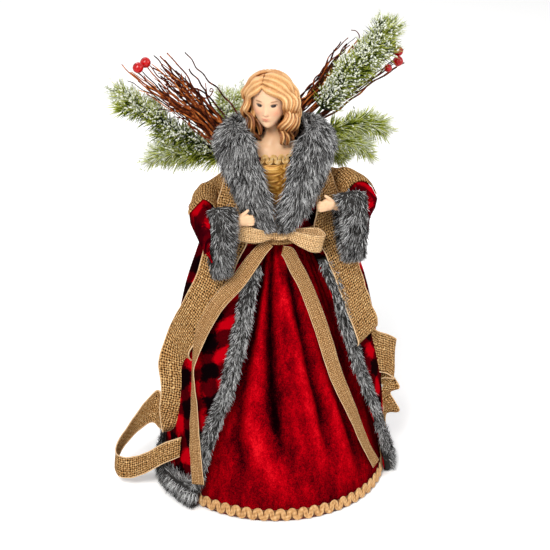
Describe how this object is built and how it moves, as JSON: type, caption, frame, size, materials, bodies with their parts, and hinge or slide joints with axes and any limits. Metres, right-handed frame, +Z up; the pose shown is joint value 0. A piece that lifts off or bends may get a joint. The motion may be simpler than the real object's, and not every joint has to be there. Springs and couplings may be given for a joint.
{
  "type": "angel tree topper",
  "caption": "Angel figure on a hollow cone: velvet skirt and fur edged check coat, burlap ribbons, hinged arms, and wings of twigs, snowy pine and red berries.",
  "frame": {"origin": "middle of the bounding box in plan, on the surface that the hem stands on", "axes": "+Z up, -Y the way the figure faces, +X to the figure's left hand, on the right of the picture"},
  "size_m": [0.2798, 0.2072, 0.4009],
  "materials": {
    "card": "stiff card cone, dull tan",
    "padding": "stuffed cotton",
    "bisque": "matt painted bisque: skin, and waved blond hair",
    "gold_brocade": "gold brocade with a low relief",
    "gold_braid": "looped gimp braid",
    "hem_braid": "looped gimp braid, tan",
    "red_velvet": "crushed red velvet",
    "sleeve_velvet": "red velvet with black check",
    "check_velvet": "red and black check velvet",
    "grey_fur": "long grey pile with pale tips",
    "fine_ribbon": "fine jute ribbon",
    "burlap": "open burlap ribbon, coarse square weave",
    "block_wood": "plain wood",
    "twig_wood": "thin reddish twigs",
    "pine_plastic": "green needles with white snow tips",
    "berry_gloss": "glossy red"
  },
  "bodies": {
    "figure": {"base_cone": "card", "torso_form": "padding", "head_and_bust": "bisque", "gold_bodice": "gold_brocade", "neckline_braid": "gold_braid", "skirt": "red_velvet", "hem_braid": "hem_braid", "coat": "check_velvet", "fur_hem": "grey_fur", "fur_edge_left": "grey_fur", "fur_edge_right": "grey_fur", "fur_collar_left": "grey_fur", "fur_collar_right": "grey_fur", "waist_ribbon": "fine_ribbon", "bow_knot": "fine_ribbon", "bow_loop_left": "fine_ribbon", "bow_loop_right": "fine_ribbon", "bow_tail_left": "fine_ribbon", "bow_tail_right": "fine_ribbon", "side_ribbon_left": "burlap", "side_ribbon_right": "burlap", "wing_block": "block_wood"},
    "arm_left": {"sleeve_left": "sleeve_velvet", "cuff_left": "grey_fur", "hand_left": "bisque", "shoulder_ribbon_left": "burlap"},
    "arm_right": {"sleeve_right": "sleeve_velvet", "cuff_right": "grey_fur", "hand_right": "bisque", "shoulder_ribbon_right": "burlap"},
    "wing_left": {"berry_left_1": "berry_gloss", "berry_left_2": "berry_gloss", "twig_bundle_left": "twig_wood", "pine_sprigs_left": "pine_plastic"},
    "wing_right": {"berry_right_5": "berry_gloss", "berry_right_6": "berry_gloss", "berry_right_7": "berry_gloss", "berry_right_8": "berry_gloss", "twig_bundle_right": "twig_wood", "pine_sprigs_right": "pine_plastic"}
  },
  "joints": [
    {"name": "shoulder_left", "type": "hinge", "parent": "figure", "child": "arm_left", "pos_m": [-0.0393, -0.00106, 0.2705], "axis": [-1, 0, 0], "range_deg": [0, 14]},
    {"name": "shoulder_right", "type": "hinge", "parent": "figure", "child": "arm_right", "pos_m": [0.0547, -0.00106, 0.2745], "axis": [-1, 0, 0], "range_deg": [0, 14]},
    {"name": "wing_root_left", "type": "hinge", "parent": "figure", "child": "wing_left", "pos_m": [-0.0063, 0.03694, 0.292], "axis": [0, 1, 0], "range_deg": [-6, 6]},
    {"name": "wing_root_right", "type": "hinge", "parent": "figure", "child": "wing_right", "pos_m": [0.0217, 0.03694, 0.292], "axis": [0, 1, 0], "range_deg": [-6, 6]}
  ]
}
